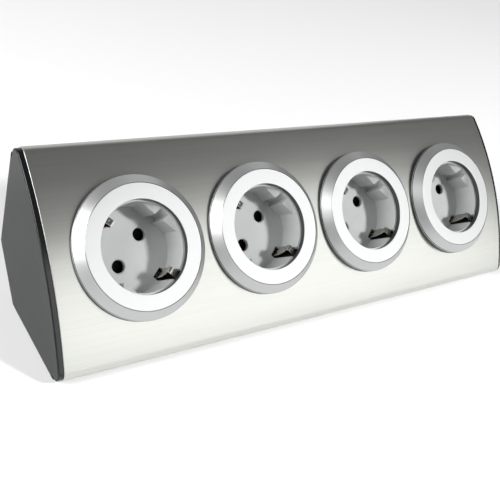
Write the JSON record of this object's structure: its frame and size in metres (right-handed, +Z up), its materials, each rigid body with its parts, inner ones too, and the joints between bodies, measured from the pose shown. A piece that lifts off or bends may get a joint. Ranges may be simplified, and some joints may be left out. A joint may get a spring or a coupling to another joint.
{
  "type": "furniture power strip",
  "caption": "Three-cornered furniture socket strip: bulged brushed steel front with a row of round earthed sockets, black end caps and a chamfered rear cover.",
  "frame": {"origin": "under the middle of the strip, on the plane of its flat base", "axes": "+X along the strip to the end with the cable inlet, +Y to the wall behind it, +Z up; the front faces -Y and +Z at 45 degrees"},
  "size_m": [0.305, 0.077, 0.077],
  "materials": {
    "brushed_steel_front": "brushed along its length",
    "brushed_steel_cover": "brushed sheet",
    "steel_plate": "satin sheet",
    "black_plastic": "moulded, glossy",
    "silver_ring": "silver lacquer on a casting",
    "silver_face": "silver lacquered moulding",
    "grey_plastic": "moulded, satin",
    "base_plastic": "moulded",
    "shutter_plastic": "moulded, black",
    "nickel_clip": "nickel plated strip",
    "brass": "drawn",
    "zinc_screw": "zinc plated",
    "black_rubber": "moulded",
    "white_plastic": "moulded",
    "brown_wire": "extruded",
    "blue_wire": "extruded",
    "green_wire": "extruded"
  },
  "bodies": {
    "root": {"front_shell": "brushed_steel_front", "rear_cover": "brushed_steel_cover", "end_cap_left": "black_plastic", "end_cap_right": "black_plastic", "end_plate_left": "steel_plate", "end_plate_right": "steel_plate", "cover_screws": "zinc_screw", "cap_screws": "zinc_screw", "clinch_nuts": "zinc_screw", "block_screw": "zinc_screw", "cable_grommet": "black_rubber", "terminal_block": "white_plastic", "terminal_sleeves": "brass", "terminal_screws": "zinc_screw", "live_wires": "brown_wire", "neutral_wires": "blue_wire", "earth_wires": "green_wire", "trim_ring_1": "silver_ring", "trim_ring_2": "silver_ring", "trim_ring_3": "silver_ring", "trim_ring_4": "silver_ring", "face_ring_1": "silver_face", "face_ring_2": "silver_face", "face_ring_3": "silver_face", "face_ring_4": "silver_face", "cup_1": "grey_plastic", "cup_2": "grey_plastic", "cup_3": "grey_plastic", "cup_4": "grey_plastic", "contact_base_1": "base_plastic", "contact_base_2": "base_plastic", "contact_base_3": "base_plastic", "contact_base_4": "base_plastic", "earth_bracket_1": "nickel_clip", "earth_bracket_2": "nickel_clip", "earth_bracket_3": "nickel_clip", "earth_bracket_4": "nickel_clip", "pin_contacts_1": "brass", "pin_contacts_2": "brass", "pin_contacts_3": "brass", "pin_contacts_4": "brass", "shutter_spring_1": "zinc_screw", "shutter_spring_2": "zinc_screw", "shutter_spring_3": "zinc_screw", "shutter_spring_4": "zinc_screw", "socket_screws_1": "zinc_screw", "socket_screws_2": "zinc_screw", "socket_screws_3": "zinc_screw", "socket_screws_4": "zinc_screw"},
    "shutter_1": {"shutter_1": "shutter_plastic"},
    "shutter_2": {"shutter_2": "shutter_plastic"},
    "shutter_3": {"shutter_3": "shutter_plastic"},
    "shutter_4": {"shutter_4": "shutter_plastic"}
  },
  "joints": [
    {"name": "shutter_1_slide", "type": "slide", "parent": "root", "child": "shutter_1", "axis": [-0.7071, 0.5, 0.5], "range_m": [0, 0.0074], "stiffness_N_per_m": 120, "springref_m": -0.004, "deforming": ["shutter_spring_1"]},
    {"name": "shutter_2_slide", "type": "slide", "parent": "root", "child": "shutter_2", "axis": [-0.7071, 0.5, 0.5], "range_m": [0, 0.0074], "stiffness_N_per_m": 120, "springref_m": -0.004, "deforming": ["shutter_spring_2"]},
    {"name": "shutter_3_slide", "type": "slide", "parent": "root", "child": "shutter_3", "axis": [-0.7071, 0.5, 0.5], "range_m": [0, 0.0074], "stiffness_N_per_m": 120, "springref_m": -0.004, "deforming": ["shutter_spring_3"]},
    {"name": "shutter_4_slide", "type": "slide", "parent": "root", "child": "shutter_4", "axis": [-0.7071, 0.5, 0.5], "range_m": [0, 0.0074], "stiffness_N_per_m": 120, "springref_m": -0.004, "deforming": ["shutter_spring_4"]}
  ]
}
